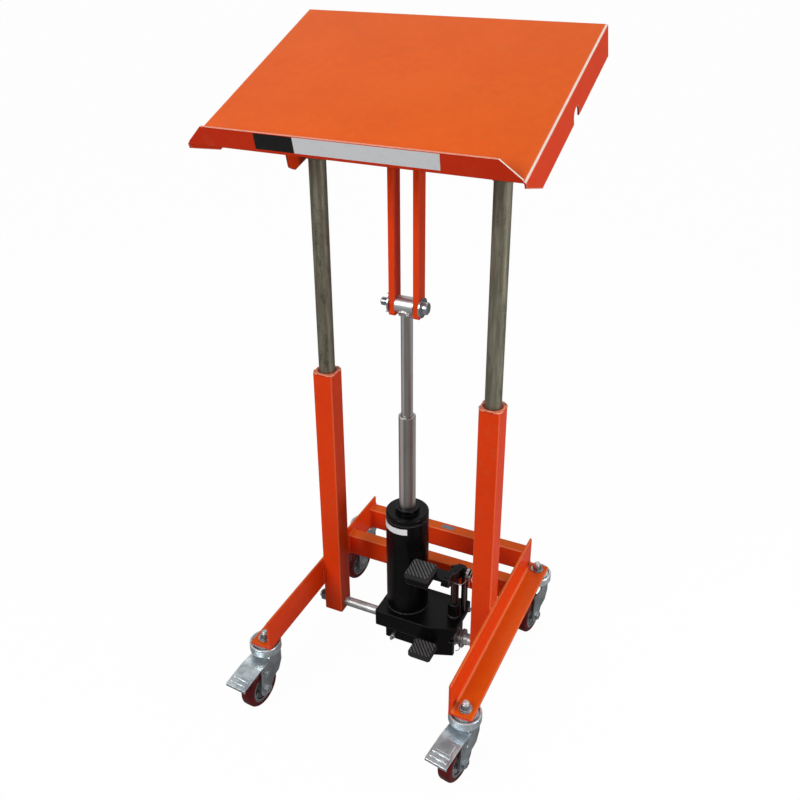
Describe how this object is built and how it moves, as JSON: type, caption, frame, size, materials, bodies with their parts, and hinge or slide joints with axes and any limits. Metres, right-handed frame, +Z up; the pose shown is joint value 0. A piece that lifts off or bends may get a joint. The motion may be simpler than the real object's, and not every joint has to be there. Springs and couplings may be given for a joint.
{
  "type": "mobile tilting lift table",
  "caption": "Foot-pumped hydraulic lift table: a folded steel top that tilts on a two-tube mast, raised by a telescopic ram over an angle-iron base on swivel castors.",
  "frame": {"origin": "on the floor under the mast, midway between the two posts", "axes": "+Z up, +Y to the back, +X to the right; the lipped lower edge of the top faces -Y"},
  "size_m": [0.59, 0.6076, 1.3884],
  "materials": {
    "orange_paint": "gloss enamel, slightly orange-peeled",
    "oiled_steel": "drawn tube, oiled",
    "bronze": "machined",
    "zinc_plate": "bright zinc plate",
    "black_enamel": "satin enamel",
    "black_casting": "satin enamel over casting",
    "hard_chrome": "ground and plated",
    "machined_steel": "turned",
    "spring_steel": "drawn wire",
    "pedal_rubber": "ribbed rubber",
    "wheel_casting": "painted",
    "tyre": "moulded polyurethane"
  },
  "bodies": {
    "chassis": {"rail_right": "orange_paint", "rail_left": "orange_paint", "cross_beam_front": "orange_paint", "cross_beam_rear": "orange_paint", "post_right": "orange_paint", "post_left": "orange_paint", "guide_bushes": "bronze", "mast_axle": "zinc_plate", "axle_end_fasteners": "zinc_plate", "axle_spacers": "zinc_plate", "pump_base": "black_casting", "oil_reservoir": "black_enamel", "reservoir_cap": "black_enamel", "gland_nut": "black_enamel", "plunger_housing": "black_casting", "pump_fittings": "zinc_plate", "lever_lugs": "black_enamel", "lever_pivot_pin": "hard_chrome", "spring_coil": "spring_steel", "release_lugs": "black_enamel", "castor_stems": "zinc_plate", "castor_stem_nuts": "zinc_plate"},
    "ram_stage": {"ram_stage": "hard_chrome"},
    "carriage": {"lift_tube_right": "oiled_steel", "lift_tube_left": "oiled_steel", "carriage_bridge": "orange_paint", "end_plate_right": "orange_paint", "end_plate_left": "orange_paint", "drop_bar_right": "orange_paint", "drop_bar_left": "orange_paint", "ram_rod": "hard_chrome", "crosshead_sleeve": "machined_steel", "crosshead_pin": "zinc_plate", "clamp_stud": "zinc_plate"},
    "clamp_lever": {"clamp_lever": "black_enamel"},
    "table": {"table_top": "orange_paint", "sector_plate": "orange_paint", "hinge_lug_right": "orange_paint", "pivot_bolts": "zinc_plate"},
    "pump_lever": {"pump_lever": "black_enamel", "pump_pedal_pad": "pedal_rubber", "spring_arm": "spring_steel"},
    "pump_plunger": {"pump_plunger": "hard_chrome"},
    "release_pedal": {"release_pedal": "black_enamel", "release_pedal_pad": "pedal_rubber"},
    "release_valve_pin": {"release_valve_pin": "hard_chrome"},
    "castor_front_left": {"castor_fork_front_left": "zinc_plate"},
    "wheel_front_left": {"wheel_hub_front_left": "wheel_casting", "wheel_tyre_front_left": "tyre"},
    "brake_front_left": {"brake_pedal_front_left": "zinc_plate"},
    "castor_front_right": {"castor_fork_front_right": "zinc_plate"},
    "wheel_front_right": {"wheel_hub_front_right": "wheel_casting", "wheel_tyre_front_right": "tyre"},
    "brake_front_right": {"brake_pedal_front_right": "zinc_plate"},
    "castor_rear_left": {"castor_fork_rear_left": "zinc_plate"},
    "wheel_rear_left": {"wheel_hub_rear_left": "wheel_casting", "wheel_tyre_rear_left": "tyre"},
    "castor_rear_right": {"castor_fork_rear_right": "zinc_plate"},
    "wheel_rear_right": {"wheel_hub_rear_right": "wheel_casting", "wheel_tyre_rear_right": "tyre"}
  },
  "joints": [
    {"name": "lift", "type": "slide", "parent": "chassis", "child": "carriage", "axis": [0, 0, 1], "range_m": [-0.436, 0]},
    {"name": "ram_extension", "type": "slide", "parent": "chassis", "child": "ram_stage", "axis": [0, 0, 1], "range_m": [-0.218, 0]},
    {"name": "table_tilt", "type": "hinge", "parent": "carriage", "child": "table", "pos_m": [0, 0, 1.2507], "axis": [1, 0, 0], "range_deg": [-22.5, 22.5]},
    {"name": "clamp_turn", "type": "hinge", "parent": "carriage", "child": "clamp_lever", "pos_m": [-0.23, 0.01201, 1.15949], "axis": [1, 0, 0], "range_deg": [-60, 0]},
    {"name": "pump_stroke", "type": "hinge", "parent": "chassis", "child": "pump_lever", "pos_m": [0.114, 0.03, 0.257], "axis": [1, 0, 0], "range_deg": [0, 25], "stiffness_Nm_per_rad": 3, "springref_deg": -28.65},
    {"name": "plunger_slide", "type": "slide", "parent": "chassis", "child": "pump_plunger", "axis": [0, 0, 1], "range_m": [-0.0125, 0]},
    {"name": "release_press", "type": "hinge", "parent": "chassis", "child": "release_pedal", "pos_m": [0.062, -0.057, 0.103], "axis": [1, 0, 0], "range_deg": [0, 12], "stiffness_Nm_per_rad": 1.5, "springref_deg": -28.65},
    {"name": "valve_push", "type": "slide", "parent": "chassis", "child": "release_valve_pin", "axis": [0, 1, 0], "range_m": [0, 0.0038]},
    {"name": "swivel_front_left", "type": "hinge", "parent": "chassis", "child": "castor_front_left", "pos_m": [-0.233, -0.232, 0.133], "axis": [0, 0, 1], "continuous": true},
    {"name": "roll_front_left", "type": "hinge", "parent": "castor_front_left", "child": "wheel_front_left", "pos_m": [-0.23596, -0.26587, 0.0465], "axis": [0.9962, -0.0872, 0], "continuous": true},
    {"name": "brake_press_front_left", "type": "hinge", "parent": "castor_front_left", "child": "brake_front_left", "pos_m": [-0.2357, -0.26288, 0.09], "axis": [0.9962, -0.0872, 0], "range_deg": [0, 10]},
    {"name": "swivel_front_right", "type": "hinge", "parent": "chassis", "child": "castor_front_right", "pos_m": [0.233, -0.232, 0.133], "axis": [0, 0, 1], "continuous": true},
    {"name": "roll_front_right", "type": "hinge", "parent": "castor_front_right", "child": "wheel_front_right", "pos_m": [0.2271, -0.26548, 0.0465], "axis": [0.9848, -0.1736, 0], "continuous": true},
    {"name": "brake_press_front_right", "type": "hinge", "parent": "castor_front_right", "child": "brake_front_right", "pos_m": [0.22762, -0.26253, 0.09], "axis": [0.9848, -0.1736, 0], "range_deg": [0, 10]},
    {"name": "swivel_rear_left", "type": "hinge", "parent": "chassis", "child": "castor_rear_left", "pos_m": [-0.233, 0.231, 0.133], "axis": [0, 0, 1], "continuous": true},
    {"name": "roll_rear_left", "type": "hinge", "parent": "castor_rear_left", "child": "wheel_rear_left", "pos_m": [-0.23773, 0.19733, 0.0465], "axis": [0.9903, -0.1392, 0], "continuous": true},
    {"name": "swivel_rear_right", "type": "hinge", "parent": "chassis", "child": "castor_rear_right", "pos_m": [0.233, 0.231, 0.133], "axis": [0, 0, 1], "continuous": true},
    {"name": "roll_rear_right", "type": "hinge", "parent": "castor_rear_right", "child": "wheel_rear_right", "pos_m": [0.22827, 0.19733, 0.0465], "axis": [0.9903, -0.1392, 0], "continuous": true}
  ],
  "couplings": [
    {"joint": "ram_extension", "follows": "lift", "ratio": 0.5},
    {"joint": "plunger_slide", "follows": "pump_stroke", "m_per_rad": -0.02828},
    {"joint": "valve_push", "follows": "release_press", "m_per_rad": 0.01767}
  ]
}
